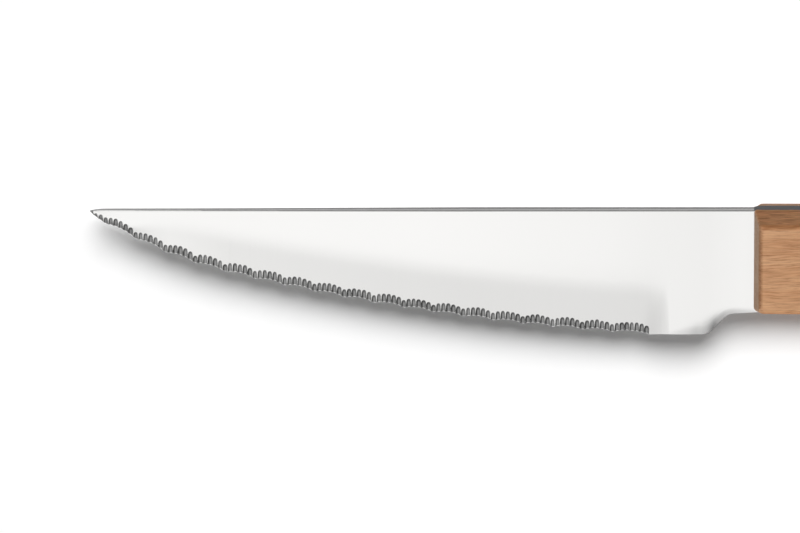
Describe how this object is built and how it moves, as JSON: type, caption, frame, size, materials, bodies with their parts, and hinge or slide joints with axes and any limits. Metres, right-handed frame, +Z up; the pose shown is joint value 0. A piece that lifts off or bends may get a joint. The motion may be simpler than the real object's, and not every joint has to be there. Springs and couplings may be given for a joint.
{
  "type": "steak knife",
  "caption": "Serrated steak knife: hollow-ground steel blade with scalloped, finely fluted edge and full tang, between wooden handle scales held by flush cutler's rivets.",
  "frame": {"origin": "on the lower scale's flat outer face, half way along the handle and half way between its back and its belly", "axes": "+X from the point to the butt, +Y from the cutting edge to the back of the blade, +Z up out of the fluted face"},
  "size_m": [0.23, 0.0253, 0.0125],
  "materials": {
    "blade_steel": "satin, finely polished faces",
    "scale_wood": "smooth oiled, fine straight grain along the handle",
    "rivet_steel": "ground flush with the wood"
  },
  "bodies": {
    "root": {"blade": "blade_steel", "upper_scale": "scale_wood", "lower_scale": "scale_wood", "front_rivet_pin": "rivet_steel", "front_rivet_sleeve": "rivet_steel", "middle_rivet_pin": "rivet_steel", "middle_rivet_sleeve": "rivet_steel", "rear_rivet_pin": "rivet_steel", "rear_rivet_sleeve": "rivet_steel"}
  },
  "joints": []
}
